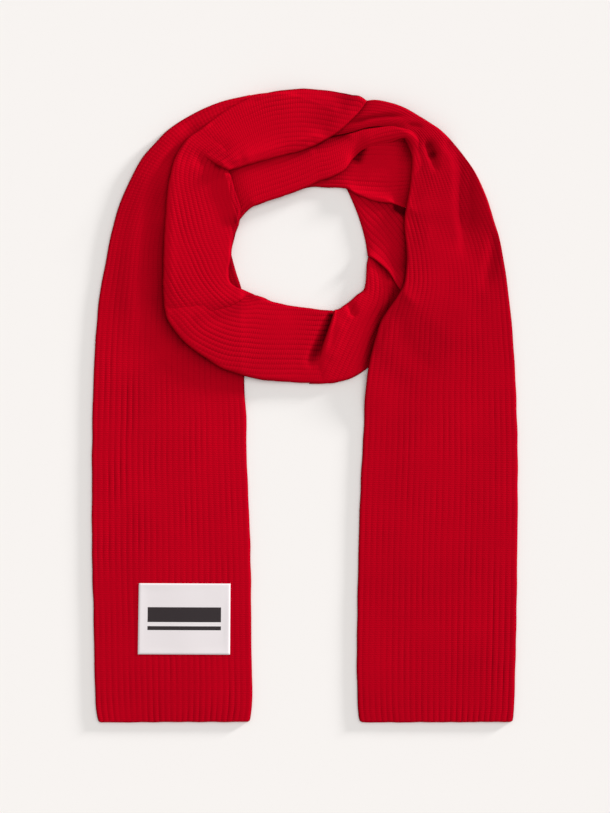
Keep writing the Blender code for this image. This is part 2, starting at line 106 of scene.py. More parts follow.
NECK_UNDER = [
    *TAIL_LEFT[-3:],
    (-36.8, 216.4, -36.8, 330.6, 4.1, 4.9, 0.4, 0, 26),
    (-15.7, 223.3, -17.8, 329.9, 4.1, 4.9, 0.4, 0, 24),
    (5.5, 230.4, 5.5, 323.8, 4.3, 4.7, 0.4, 0, 21.5),
    (24.5, 229.9, 26.7, 315.3, 4.5, 4.5, 0.2, 0, 19.5),
    (42.1, 229.2, 47.8, 309, 4.4, 4.3, 0.4, 0, 18),
    (54.2, 222.8, 69, 303.7, 2.4, 4.1, 0.8, -1, 16.5),
    (67.9, 217.5, 88, 298.4, 1.3, 4.1, 1, -1.8, 15),
    (80.6, 214.5, 105, 291, 1.6, 4.1, 0.8, -2.4, 13.6),
    (91.2, 213.1, 119.8, 281.5, 3, 4.1, 0.4, -3.2, 12),
    (103.4, 209.5, 132.5, 268.8, 3.6, 3.9, 0, -4.8, 9.8),
    (114.5, 203.2, 143, 248.7, 3.1, 2.9, 0, -7, 6),
]
LOOP_RIGHT_TOP = [
    (66.3, 157.7, 44.1, 229.1, 2.5, 2.9, 0.4, 0, 4.9),
    (73.2, 153.5, 55.2, 225.4, 3.3, 3.1, 0.6, 0, 6.4),
    (87, 141.8, 71.1, 222.2, 3.7, 3.1, 0.6, 0, 8.1),
    (97.5, 125.4, 88, 218, 3.7, 3.1, 0.6, 0, 9.9),
    (109.2, 110.1, 107.1, 207.4, 3.5, 3.1, 0.6, 0, 11.6),
    (121.9, 101.6, 130.3, 187.3, 2.7, 2.7, 0.4, 0, 12.7),
]
LOOP_RIGHT_LOW = [
    (67.7, 159.8, 122.9, 115.4, 2.8, 3, 0.4, 0, 9.7),
    (65.8, 151.3, 119.8, 108, 4.6, 4.8, 1, -1.1, 9.1),
    (65, 141.3, 115.5, 99.5, 5.4, 5.4, 1.6, -1.6, 8.2),
    (64, 130.2, 109.2, 89.5, 5.8, 5.6, 1.8, -1.9, 7),
    (61.9, 121.7, 100.7, 78.9, 6, 5.6, 2, -2.3, 6.5),
    (54.7, 116.1, 91.2, 67.2, 6.2, 5.6, 2, -3.3, 6.4),
    (47.8, 110.5, 80.1, 54, 6.2, 5.6, 2, -4.2, 6),
    (41.5, 105.2, 67.9, 40.5, 6.2, 5.6, 2, -4.9, 4.8),
    (37.8, 102.9, 48.9, 28.2, 6.2, 5.6, 1.8, -5.3, 2.5),
    (34.1, 101.2, 20.3, 22.7, 6.2, 5.4, 1.6, -6.1, -2),
    (31.4, 100.4, 4.4, 22.3, 6.2, 5.4, 1.4, -6.5, -4.4),
]
LOOP_FRONT = [
    (49.9, 98.4, 46.8, 29.3, 3, 4.2, 0.2, 0, 14),
    (40.4, 99.5, 31.4, 23.5, 3.6, 4.8, 0.4, 0, 14.4),
    (31.5, 99.9, 18.2, 22.9, 4.2, 5.4, 0.6, 0, 14.8),
    (16.1, 100.8, 1.3, 23.3, 4.8, 5.4, 1.2, -0.3, 14.8),
    (1.3, 103.1, -14.6, 24.4, 5, 5.4, 1.6, -0.6, 14.7),
    (-12.5, 104.8, -30.5, 25.1, 5.2, 5.4, 1.8, -0.9, 14.5),
    (-24.1, 107.1, -45.3, 26.7, 5.2, 5.4, 2, -1.4, 14.2),
    (-35.8, 110.1, -59, 29.5, 5.2, 5.4, 2, -1.9, 13.8),
    (-44.2, 114.1, -72.8, 33.5, 5.2, 5.4, 2, -2.5, 13.4),
    (-49, 115.6, -87.6, 38.8, 5.2, 5.6, 2, -3, 12.8),
    (-51.6, 116.3, -102.4, 47.7, 5.2, 5.8, 2, -3.6, 12.2),
    (-53.1, 116.8, -116.2, 57.2, 5, 6, 1.8, -4.2, 11.8),
    (-54.2, 117.2, -127.8, 66.7, 4.8, 6.2, 1.6, -4.8, 11.5),
    (-55, 117.6, -136.3, 76.8, 4.6, 6.4, 1.2, -5.2, 11.3),
    (-55.9, 117.9, -144.3, 88.4, 4.6, 6.4, 1, -5.6, 11.1),
    (-64.3, 121.7, -148.3, 102.7, 4.6, 6.4, 1.2, -5.9, 9.8),
    (-72.8, 125.1, -149.8, 115.4, 4.4, 6.4, 1.2, -5.6, 8.8),
]
LOOP_LEFT = [
    (-55.9, 117.9, -144.3, 88.4, 5.4, 6.4, 1, -5.6, 11.1),
    (-64.3, 121.7, -148.3, 102.7, 5.5, 6.4, 1.2, -5.8, 10),
    (-72.8, 125.1, -149.8, 115.4, 5.7, 6.4, 1.2, -5.6, 8.9),
    (-78.6, 130.2, -150.4, 128.1, 5.8, 6.4, 1.2, -5.6, 7.9),
    (-79.9, 141.8, -150, 141.8, 5.8, 6.4, 1.2, -6.8, 6.7),
    (-77.8, 155.6, -149.6, 157.7, 5.8, 6.4, 1.2, -8.3, 5.3),
    (-76.4, 168.3, -149, 173.6, 5.8, 6.4, 1.2, -9.8, 4),
    (-73, 181, -148.1, 190.5, 5.8, 6.4, 1.2, -11.4, 2.9),
    (-69, 193.7, -146.9, 208.5, 5, 6.4, 1.2, -12.9, 1.9),
    (-67.5, 206.4, -145.2, 225.4, 4.2, 6.4, 1.2, -14.2, 1),
    (-70.5, 218, -142.6, 241.3, 3.8, 6.4, 1.2, -14.6, 0.1),
    (-74.4, 230.7, -138.8, 256.1, 3.8, 6.2, 1, -13.8, -0.4),
    (-77.2, 240.2, -133.6, 268.8, 3.9, 4.8, 1, -12.9, -0.6),
    (-79.6, 247.1, -125.7, 279.9, 4.6, 3.6, 1.4, -12, -0.8),
    (-72.8, 252.9, -111.9, 290.5, 4.2, 2.6, 1.6, -11.8, -0.8),
    (-61.2, 258.2, -94.5, 303.7, 3.8, 3, 1.8, -12.4, -0.8),
]
NECK_FOLD = [
    (-70.7, 193.7, -87.6, 257.1, 3, 3.4, 0.2, 16.2, 28),
    (-56.5, 208.5, -65.4, 262.4, 3.8, 4, 0.4, 16.2, 27),
    (-35.8, 216.4, -45.3, 268.8, 3.8, 4, 0.4, 16.2, 26.6),
    (-15.7, 223.3, -24.1, 275.1, 4, 4, 0.6, 16.2, 26.4),
    (2.3, 230.1, -5.1, 281.5, 4.2, 4, 0.8, 16.2, 26.2),
    (15, 236.7, 8.7, 284.7, 4.4, 3.8, 1.2, 16.2, 25.8),
    (29.8, 241.3, 22.4, 283.1, 4.6, 3.4, 1.6, 16.2, 25.4),
    (42.5, 248.7, 36.2, 284.7, 3.6, 3.4, 1.8, 16.2, 24.6),
    (51, 260.3, 48.9, 287.8, 1.8, 3, 1.8, 16.2, 23.8),
    (59.5, 268.3, 60.5, 291, -1, 2.6, 2, 16.2, 22.8),
    (69, 272, 72.2, 293.1, -2.2, 2.4, 2.2, 16.2, 21.6),
    (80.6, 274.6, 84.9, 294.7, -2.4, 2.2, 2.4, 16.2, 20.8),
    (91.2, 276.7, 97.5, 295.8, -1.6, 2.2, 2.4, 16.2, 20.6),
    (99.7, 280.4, 109.2, 295.2, 0.8, 2.4, 2.4, 16.2, 20.8),
    (105.5, 281, 118.7, 292.6, 2.8, 2.6, 2.2, 16.2, 21.2),
    (109.7, 276.2, 127.2, 286.8, 4.2, 2.8, 1.6, 16, 21.6),
    (112.4, 268.8, 133, 276.2, 5, 2.8, 1.2, 15.4, 21.2),
    (113, 254, 136.7, 261.9, 4.8, 2.4, 1, 14.4, 20.4),
    (111.9, 238.1, 139.9, 246.6, 3.8, 1.4, 0.6, 12.8, 19.2),
    (110.9, 224.3, 140.9, 229.6, 1.8, 0, 0.2, 11.2, 18.2),
    (109.6, 212.7, 139.9, 216.9, -0.4, -1.6, 0, 9.8, 17),
]
TAIL_RIGHT = [
    (11.8, 282.5, 58.9, 320.3, 1, 1, 0.2, 14, 27),
    (30.9, 284.3, 75, 322.4, 2.6, 2.6, 0.6, 14, 27),
    (47.8, 287.5, 91.8, 318.7, 3.2, 3.6, 1, 14, 27),
    (65.8, 292.9, 108.8, 312.2, 2.8, 3.8, 1, 14, 27.4),
    (80.6, 294.2, 120.8, 305.2, 1.8, 4, 1.4, 13.8, 28),
    (91.2, 293.8, 132.5, 297.8, 1.2, 4.2, 1.8, 13.6, 28.6),
    (99.7, 288.9, 143, 290.8, 0.8, 4.2, 2.2, 13.2, 29.2),
    (105, 280.4, 151.5, 282.8, 0.8, 4.2, 2.4, 12.8, 29.6),
    (110.2, 270.9, 161, 272, 1.2, 4.2, 2.6, 12.2, 30),
    (113.4, 261.4, 168.4, 263, 2.2, 4.2, 2.2, 11.6, 30),
    (112.4, 246.6, 176.9, 251.3, 3.8, 4.2, 1.4, 10.4, 29.8),
    (110.5, 227.5, 185.4, 235.5, 4.6, 4, 1, 8.8, 29.4),
    (107.1, 208.5, 192.8, 217.5, 4.8, 4, 0.6, 7, 28.8),
    (105.4, 193.7, 199.1, 197.9, 4, 4, 0.6, 5.8, 28.2),
    (107.1, 169.3, 206, 174.6, 3.8, 3.8, 0.6, 4.9, 27.5),
    (107.6, 148.2, 210.8, 148.2, 3.6, 3.6, 0.6, 4.4, 27.1),
    (103.9, 126, 214.4, 123.8, 4.6, 3.4, 0.4, 3.7, 27),
    (94.4, 110.1, 216.6, 104.8, 5.2, 3.2, 0.4, 2.7, 27),
    (81.7, 91, 218.4, 87.9, 5.2, 3.1, 0.4, 1.5, 27),
    (75, 70.9, 220, 66.7, 4.6, 3.1, 0.4, 0.7, 27),
    (67.9, 41.8, 221.9, 39.2, 3.8, 3.1, 0.4, 0, 27),
    (64.7, 17, 222.9, 15.9, *FLAT),
    (62.6, -26.4, 224.5, -26.4, *FLAT),
    (59, -96.2, 225, -100.5, *FLAT),
    (57.1, -163.9, 224.3, -163.9, *FLAT),
    (55.9, -227.4, 223.4, -227.4, *FLAT),
    (55.4, -271.9, 222.4, -269.7, *FLAT),
    (56.1, -309.9, 221.3, -309.9, *FLAT),
    (56.9, -324.8, 220.5, -324.8, 3.1, 3.1, 0.3, 0, 27),
    (58, -332.2, 219.5, -332.4, 3, 3, 0.3, 0, 27),
    (59, -334.5, 218.6, -334.5, 3, 3, 0.3, 0.15, 26.85),
    (61.2, -335.7, 216.5, -335.2, 2.8, 2.8, 0.3, 0.5, 26.5),
]
NECK_OVER = [
    (-79.6, 247.1, -125.7, 279.9, 5.4, 3.4, 2, -12, -0.8),
    (-72.8, 249.2, -111.9, 290.5, 4.2, 2.4, 2.8, -12.2, -0.8),
    (-61.2, 252.6, -94.5, 303.7, 3, 1.6, 3.4, -13, -0.8),
    (-47.4, 256.8, -69.6, 318.7, 2, 2.2, 3.4, -14, -0.8),
    (-33.6, 260.5, -44.2, 328.9, 1.8, 3.2, 3, -14.6, -0.8),
    (-18.8, 264.3, -22, 332.9, 1.8, 4.2, 2.6, -14.6, -0.8),
    (-7.2, 267.2, -4, 334.6, 2.4, 4.2, 2.1, -14.2, -0.8),
    (5, 271.3, 11.8, 333.9, 3.2, 4.1, 1.8, -13.2, -0.8),
    (17.1, 277, 26.7, 332.4, 4.2, 4.2, 1.6, -11.7, -0.8),
    (30.9, 284.7, 39.4, 330.1, 4.6, 4.6, 1.4, -9.6, -0.8),
    (45.2, 296.7, 49.9, 328.1, 4, 4.6, 0.9, -6.8, -0.8),
    (56.8, 308.6, 58.9, 326.3, 2.8, 4, 0.4, -4.2, -0.8),
    (64.3, 319.1, 65.6, 321.5, 2.8, 3.2, 0, -1.4, -0.8),
]
# Corners of the label patch, round from the one by the neck and the inner edge.
LABEL = [(-78.6, -188.7), (-175.4, -188.3), (-176.5, -263.4), (-79.1, -263.8)]
LABEL_SIZE = (0.097, 0.0753)  # its real width and depth, in metres

# Ridges (height above 0) and creases (below 0): height, half-width to the left of the line, half-width
# to its right, the line they follow, and the lengths over which they die away at its start and end.
DIMPLE = [  # it goes through the right tail into the roll beside it
    (-5, 5, 5, [(131.4, 273.5), (134.6, 265.6)]),
    (-2.6, 4, 4, [(134.6, 263.5), (139.9, 242.3)], 0, 16),
]
FOLDS = {
    "tail_left": [
        (2.2, 13, 13, [(-181.8, 58.2), (-183.9, 132.3), (-178.6, 185.2), (-165.9, 238.1),
         (-144.7, 278.3), (-121.5, 299.5)], 60, 20),
        (-1.2, 4, 4, [(-155.3, 246.6), (-134.2, 277.2), (-110.9, 299.5)], 15, 15),
        (-2.6, 11, 11, [(-126.7, 58.2), (-144.7, 79.4), (-155.3, 105.9), (-157.4, 164), (-155.3, 216.9),
         (-149, 242.3)], 10, 30),
    ],
    "neck_over": [
        (1.2, 9, 9, [(-68.6, 259.3), (-18.8, 270.9), (29.8, 294.2), (55.2, 314.3)], 10, 10),
        (-1.4, 9, 9, [(-103.5, 274.1), (-87.6, 269.8)]),
        (-1, 3, 3, [(-104.5, 293.1), (-87.6, 304.8), (-64.3, 318.5), (-45.3, 324.9)], 10, 10),
    ],
    "loop_left": [
        (0.7, 6, 6, [(-142.6, 111.1), (-142.6, 174.6), (-139.4, 227.5), (-127.8, 264.6)], 20, 20),
        (-3, 3.5, 3.5, [(-101.4, 259.3), (-90.8, 251.9), (-78.1, 246.6)], 14, 0),
        (-1.8, 7, 7, [(-121.5, 261.4), (-103.5, 258.2), (-95, 254)], 12, 0),
        (0.7, 8, 8, [(-105.6, 111.1), (-79.1, 113.3), (-62.2, 118.5)], 20, 10),
        (-1.4, 5, 5, [(-119.3, 100.6), (-103.5, 95.3)], 4, 6),
    ],
    "loop_front": [
        (-1.2, 7, 7, [(-113, 91), (-87.6, 92.1), (-67.5, 104.8), (-55.9, 113.3)], 20, 0),
        (-5.2, 4.5, 5.2, [(30.9, 97.4), (23.5, 79.4), (15, 62.5), (6.6, 46.6), (2.3, 37.1)], 4, 24),
    ],
    "loop_right_low": [
        (1, 7, 7, [(41.5, 92.1), (33, 63.5), (22.4, 45.5)], 12, 12),
        (-2.4, 4, 4, [(48.9, 103.7), (51, 97.4)]),
        (-2, 4, 4, [(73.2, 155.6), (88, 135.5)], 10, 0),
        (-5.5, 5.5, 5.5, [(89.1, 130.2), (96.5, 119.6), (92.3, 108), (82.7, 94.2), (73.2, 68.8),
         (65.8, 40.3)], 14, 0),
    ],
    "loop_right_top": [
        (-4.4, 4, 4, [(91.2, 211.7), (106, 203.7)], 9, 0),
        (-1.8, 7, 7, [(103.9, 190.5), (106, 164), (105, 137.6)], 10, 10),
    ],
    "tail_right": [
        (-2.2, 2.6, 2.6, [(37.2, 292.6), (52.1, 298.4), (67.9, 302.9), (87, 305.4),
         (111.3, 304.8)], 20, 20),
        (-1.8, 3, 3, [(105, 295.2), (126.1, 294.2)], 8, 8),
        *DIMPLE,
        (0.5, 9, 9, [(127.2, 301.6), (144.1, 286.8), (153.6, 273), (155.7, 243.4), (153.6, 211.7),
         (147.3, 179.9)], 20, 40),
        (-5.8, 18, 6, [(149.4, 282.5), (162.1, 264.6), (165.3, 248.7), (165.3, 227.5), (166.3, 201.1),
         (170.5, 148.2)], 10, 60),
        (-2, 8, 6, [(202.3, 187.3), (195.9, 151.3), (187.5, 115.4)], 20, 25),
    ],
    "neck_fold": [
        *DIMPLE,
        (-2.2, 4, 8, [(3.4, 273), (18.2, 277.2), (33, 282.5), (45.7, 291)], 8, 8),
    ],
    "neck_under": [
        (-5, 5.5, 5.5, [(54.2, 260.3), (56.8, 265.6), (59.5, 270.9)]),
        (1.6, 14, 14, [(71.1, 240.2), (83.8, 242.3)]),
        (4.6, 18, 13, [(43.6, 269.8), (62.6, 275.1), (75.3, 279.4), (88, 283.6), (100.7, 286.8),
         (113.4, 284.7), (124, 274.1)], 30, 14),
        (-4.4, 4.5, 10, [(102.8, 284.7), (107.1, 269.8), (108.1, 254), (107.1, 232.8),
         (105, 213.8)], 8, 0),
    ],
}

# How a stretch begins and ends where the strip turns: how far the middle of the end bows out, over
# what length it is lifted, and the lift at points across it, from inner (0) to outer (1) edge.
# A lift above 0 is a fold that lies on the next stretch, one below 0 slips under it.
STARTS = {
    "loop_right_top": (-4.4, 10, [(0, 0)]),
    "neck_under": (0, 14, [(0, -1.2)]),
    "loop_front": (0, 12, [(0, -1.5)]),
    "loop_left": (9, 16, [(0, 0.7), (0.3, 0.6), (0.5, -0.4), (0.7, -1.8), (1, -2.6)]),
    "neck_over": (4, 16, [(0, 1), (0.3, 1), (0.5, 0), (0.62, -1.6), (1, -2.6)]),
}
ENDS = {
    "loop_right_low": (0, 12, [(0, 1.6), (0.5, 2), (0.66, 0.6), (0.8, -1.2), (1, -2.6)]),
    "loop_front": (0, 18, [(0, -2.4)]),
    "loop_left": (0, 18, [(0, -2.4)]),
}
# Direction of the ribs, for stretches whose rows don't run across their ribs.
COURSES = {"loop_right_low": (-0.45, -0.89), "loop_right_top": (0.7, -0.7)}
# How much darker (above 0) or lighter a stretch looks from its first row (0) to its last (1): painted
# shade and painted light.
PAINTED_STRETCH_SHADE = {
    "tail_left": [(0, 0.11), (0.3, 0.04), (0.6, 0), (0.85, 0), (1, -0.14)],
    "tail_right": [(0, 0.04), (0.12, 0.14), (0.22, 0.14), (0.32, 0.2), (0.4, 0.16), (0.55, 0.04),
                   (0.8, 0.08), (1, 0.14)],
    "neck_over": [(0, -0.1), (0.3, -0.2), (0.55, -0.14), (0.75, 0), (1, -0.04)],
    "neck_fold": [(0, -0.2), (0.5, -0.18), (0.7, -0.12), (1, 0.04)],
    "neck_under": [(0, -0.14), (0.5, -0.22), (0.8, -0.32), (1, -0.26)],
    "loop_front": [(0, 0), (0.5, 0), (1, -0.12)],
    "loop_left": [(0, -0.03), (0.4, -0.06), (1, -0.05)],
    "loop_right_low": [(0, -0.2), (0.7, -0.18), (1, -0.08)],
}
# Where the ribs are stronger or weaker than elsewhere, as lines in the way of FOLDS.
BOLDER = {
    "tail_left": [
        (0.4, 26, 26, [(-197.6, 79.4), (-195.5, -37), (-199.8, -206.3)], 60, 60),
        (0.35, 25, 25, [(-227.3, -329), (-52.7, -329)]),
    ],
    "neck_fold": [(-0.6, 16, 30, [(134.6, 296.3), (138.8, 254), (134.6, 206.4)])],
    "tail_right": [
        (-0.3, 22, 26, [(138.8, 243.4), (147.3, 174.6), (155.7, 79.4)], 30, 80),
        (0.35, 22, 22, [(111.3, 269.8), (113.4, 201.1), (117.6, 148.2), (96.5, 90), (83.8, 37.1)], 0, 60),
        (0.45, 30, 30, [(206.5, -163.9), (206.5, -329)], 60, 0),
        (0.35, 25, 25, [(53.1, -329), (227.7, -329)]),
    ],
}
# Painted shade (above 0) or painted light (below 0) where creases and edges look darker or lighter than
# their heights make them, likewise.
PINCH_SHADE = (0.2, 6, 6, [(-72.8, 126), (-58, 117.5), (-43.2, 113.3)], 3, 6)  # painted shade where the front turns up
PAINTED_SHADE_LINES = {
    "tail_left": [
        (0.09, 8, 8, [(-159.5, 127), (-153.2, 98.4), (-140.5, 76.2), (-121.5, 58.2), (-95, 40.3)], 20, 20),
        (-0.14, 6, 6, [(-140.5, 262.4), (-146.9, 238.1), (-150, 211.7), (-151.1, 179.9)], 10, 20),
        (0.18, 3, 5, [(-140.5, 294.2), (-119.3, 307.9), (-87.6, 322.7), (-58, 328.6)], 10, 10),
    ],
    "neck_under": [
        (0.2, 4, 6, [(103.9, 284.7), (108.1, 273), (111.3, 261.4), (110.2, 246.6)], 4, 20),
        (0.5, 5.5, 7, [(53.1, 257.1), (57.3, 265.6), (60.5, 274.1)], 3, 4),
        (0.2, 8, 10, [(14, 234.9), (30.9, 241.3), (43.6, 249.7), (51, 257.1)], 10, 4),
        (0.2, 4, 4, [(41.5, 229.6), (54.2, 223.3), (67.9, 218), (80.6, 214.8), (92.3, 212.7)], 6, 6),
    ],
    "loop_right_top": [
        (0.6, 4, 4, [(90.1, 210.6), (98.6, 207.4), (106, 203.2)], 8, 0),
        (0.12, 7, 7, [(64.7, 219.1), (81.7, 212.7), (98.6, 202.1)], 6, 6),
    ],
    "loop_right_low": [
        (0.2, 5, 5, [(66.9, 158.8), (79.6, 151.3), (92.3, 136.5)], 4, 4),
        (0.1, 5, 8, [(96.5, 126), (92.3, 108), (82.7, 94.2), (73.2, 68.8), (64.7, 41.3)], 10, 10),
    ],
    "loop_front": [
        PINCH_SHADE,
        (0.26, 4, 5, [(30.9, 97.4), (23.5, 79.4), (15, 62.5), (6.6, 46.6), (3.4, 38.1)], 5, 18),
        (0.2, 7, 8, [(-121.5, 94.2), (-105.6, 91), (-89.7, 93.2), (-74.9, 101.6), (-60.1, 113.3)], 8, 12),
        (0.07, 14, 14, [(-19.9, 92.1), (-26.2, 58.2), (-34.7, 32.9)], 10, 10),
        (0.12, 5, 5, [(-45.3, 113.3), (-24.1, 105.9), (1.3, 101.6), (26.7, 99.5)], 6, 6),
    ],
    "loop_left": [
        (-0.18, 4, 4, [(-136.3, 262.4), (-142.6, 241.3), (-145.8, 222.2), (-147.9, 190.5),
         (-149.5, 158.8)], 10, 20),
        PINCH_SHADE,
        (0.16, 9, 8, [(-125.7, 101.6), (-106.6, 97.4), (-87.6, 100.6), (-68.6, 109)], 8, 12),
        (0.2, 4, 4, [(-77, 161.9), (-79.7, 145), (-78.1, 131.2), (-68.6, 123.8)], 8, 4),
        (0.36, 3, 3, [(-78.1, 243.4), (-72.8, 222.2), (-69.6, 208.5), (-72.8, 190.5), (-77, 164)], 4, 16),
        (-0.3, 6, 10, [(-85.5, 242.3), (-83.4, 225.4), (-80.2, 208.5), (-79.1, 193.7)], 8, 12),
    ],
    "neck_fold": [
        (0.34, 3, 9, [(-30.5, 261.4), (5.5, 273), (32, 282.5), (49.9, 289.9)], 30, 12),
        (0.14, 6, 5, [(112.4, 286.8), (121.9, 279.4), (126.1, 274.1)], 3, 3),
        (0.12, 3, 4, [(56.3, 287.8), (72.2, 291), (95.4, 292.6), (112.4, 289.9)], 6, 6),
        (-0.16, 5, 5, [(113.4, 272), (114.5, 250.8), (112.4, 227.5)], 6, 6),
        (0.2, 5, 5, [(-68.6, 256.1), (-51.6, 259.3), (-26.2, 264.6)], 2, 20),
    ],
    "neck_over": [
        (0.24, 5, 5, [(-12.5, 328), (7.6, 323.8), (35.1, 313.2)], 8, 8),
        (0.26, 9, 9, [(44.6, 322.7), (49.9, 312.2)]),
        (0.28, 3, 3, [(-45.3, 329.1), (-22, 332.8), (-4, 334.4), (11.8, 333.9), (39.4, 330.1),
         (58.4, 325.9)], 8, 4),
        (0.09, 15, 15, [(9.7, 288.9), (18.2, 303.7), (26.7, 320.6)], 6, 6),
        (0.22, 5, 5, [(-102.4, 269.8), (-87.6, 263.5), (-72.8, 255)], 8, 0),
    ],
    "tail_right": [
        (0.14, 4, 5, [(148.3, 278.3), (154.7, 263.5), (158.9, 246.6), (161, 236)], 10, 12),
        (0.12, 6, 6, [(155.7, 254), (158.9, 216.9), (160, 164)], 20, 20),
        (0.1, 7, 8, [(185.4, 216.9), (202.3, 174.6), (210.8, 111.1)], 30, 30),
        (0.2, 2.5, 3, [(37.2, 284.7), (48.9, 288.4), (59.5, 291.5)], 6, 8),
        (-0.2, 4, 4, [(37.2, 289.9), (49.9, 296.3), (60.5, 301.6)], 5, 8),
        (0.16, 2.5, 2.5, [(49.9, 297.4), (58.4, 300.5), (71.1, 303.3), (100.7, 305.3)], 10, 12),
        (0.05, 30, 30, [(174.8, 111.1), (153.6, 79.4)]),
        (0.14, 12, 6, [(160, 272), (168.4, 248.7), (170.5, 216.9), (172.7, 176.7)], 10, 30),
        (-0.3, 7, 7, [(114.5, 269.8), (113.4, 243.4), (109.2, 220.1), (107.1, 201.1),
         (108.1, 164)], 10, 20),
    ],
}
TOPS = {}  # the laid tops, as grids of points, by stretch
LAID = []  # name, shell, grid of points, place of each vertex in it, and which are on top
PAINTED_SHADE = {}  # painted shade (above 0) or painted light (below 0) at each point of a stretch, by stretch


def spline(table, step, hems):
    """Rows about step apart, closer at a hem, on a smooth curve through those of the table."""
    rows = np.array(table, float)
    middle = (rows[:, 0:2] + rows[:, 2:4]) / 2
    at = np.concatenate([[0], np.cumsum(np.linalg.norm(np.diff(middle, axis=0), axis=1) + 0.5)])
    slope = np.gradient(rows, at, axis=0)
    want = np.linspace(0, at[-1], 1 + math.ceil(at[-1] / step))
    rim = np.array([0.2, 0.5, 1.0, 1.7])
    want = np.unique(np.concatenate([want, rim * hems[0], at[-1] - rim * hems[1]]))
    i = np.clip(np.searchsorted(at, want, side="right") - 1, 0, len(at) - 2)
    span = (at[i + 1] - at[i])[:, None]
    u = (want - at[i])[:, None] / span
    smooth = (
        rows[i] * (2 * u**3 - 3 * u**2 + 1)
        + rows[i + 1] * (3 * u**2 - 2 * u**3)
        + slope[i] * span * (u**3 - 2 * u**2 + u)
        + slope[i + 1] * span * (u**3 - u**2)
    )
    return smooth, want


def fold_height(points, height, left, right, line, fade_in=0, fade_out=0):
    """Height of a ridge or crease along a line, with a half-width for either side of the line.

    fade_in and fade_out are the lengths over which it dies away at its two ends.
    """
    near, side, place = np.full(len(points), 1e9), np.zeros(len(points)), np.zeros(len(points))
    start = 0.0
    for a, b in zip(line[:-1], line[1:]):
        a, b = np.array(a, float), np.array(b, float)
        length = np.linalg.norm(b - a)
        along = np.clip(((points - a) @ (b - a)) / length**2, 0, 1)
        off = points - (a + along[:, None] * (b - a))
        distance = np.linalg.norm(off, axis=1)
        turn = (b - a)[0] * off[:, 1] - (b - a)[1] * off[:, 0]
        closer = distance < near
        side = np.where(closer, turn, side)
        place = np.where(closer, start + along * length, place)
        near = np.minimum(near, distance)
        start += length
    height = height * np.exp(-((near / np.where(side > 0, left, right)) ** 2))
    if fade_in:
        height = height * smoothstep(place / fade_in)
    if fade_out:
        height = height * smoothstep((start - place) / fade_out)
    return height


def add_folds(value, table, name, plan):
    """A value at each point of a stretch, with the stretch's lines from a table like FOLDS added."""
    for line in table.get(name, ()):
        value = value + fold_height(plan.reshape(-1, 2), *line).reshape(plan.shape[:2])
    return value


def ripple(seed, x, y, length):
    """Soft random waves about length long, from -1 to 1, the same each run."""
    rng = np.random.default_rng(seed)
    total = np.zeros(np.broadcast(x, y).shape)
    for _ in range(6):
        turn, phase = rng.uniform(0, 2 * math.pi, 2)
        size = 2 * math.pi / (length * rng.uniform(0.7, 1.5))
        total += np.sin(size * (x * math.cos(turn) + y * math.sin(turn)) + phase)
    return total / 6


def smoothstep(x):
    """From 0 to 1, gently at both ends."""
    x = np.clip(x, 0, 1)
    return x * x * (3 - 2 * x)


def finer(grid, across, along):
    """The grid with more points between its own, in straight lines."""
    for axis, more in ((0, along), (1, across)):
        if more > 1:
            count = grid.shape[axis]
            want = np.linspace(0, count - 1, (count - 1) * more + 1)
            low = np.minimum(want.astype(int), count - 2)
            part = (want - low).reshape([-1 if k == axis else 1 for k in range(3)])
            grid = np.take(grid, low, axis) * (1 - part) + np.take(grid, low + 1, axis) * part
    return grid


def spread(high):
    """Each cell averaged with its neighbours."""
    for axis in (0, 1):
        high = (np.roll(high, 1, axis) + 2 * high + np.roll(high, -1, axis)) / 4
    return high


def support_map(names):
    """Heights of the named stretches, as a map of cells."""
    high = np.zeros(MAP_SIZE)
    for name in names:
        if name not in TOPS:
            raise RuntimeError(f"{name} has to be laid first")
        cells = (TOPS[name][..., :2] - LOW_CORNER).astype(int).reshape(-1, 2)
        np.maximum.at(high, (cells[:, 0], cells[:, 1]), TOPS[name][..., 2].ravel())
    return high


def drape(high, fall):
    """A cloth laid over a map of heights: it touches the high places and sags between them."""
    cloth = high.copy()
    reach, softening = 36, 50  # cells that a fall may run, and rounds of softening after it
    for _ in range(reach):
        for dx, dy in ((1, 0), (-1, 0), (0, 1), (0, -1), (1, 1), (1, -1), (-1, 1), (-1, -1)):
            lower = np.roll(cloth, (dx, dy), (0, 1)) - fall * math.hypot(dx, dy)
            cloth = np.maximum(cloth, lower)
    resting = np.where(high > 0.3, high + GAP, 0)
    for _ in range(softening):
        cloth = np.maximum(spread(cloth), resting)
    return cloth


def sample(cells, points):
    """Height of a map at each point, blended between its cells."""
    at = points - LOW_CORNER - 0.5
    low = np.clip(at.astype(int), 0, np.array(MAP_SIZE) - 2)
    part = np.clip(at - low, 0, 1)
    i, j, u, v = low[..., 0], low[..., 1], part[..., 0], part[..., 1]
    return (
        cells[i, j] * (1 - u) * (1 - v)
        + cells[i + 1, j] * u * (1 - v)
        + cells[i, j + 1] * (1 - u) * v
        + cells[i + 1, j + 1] * u * v
    )


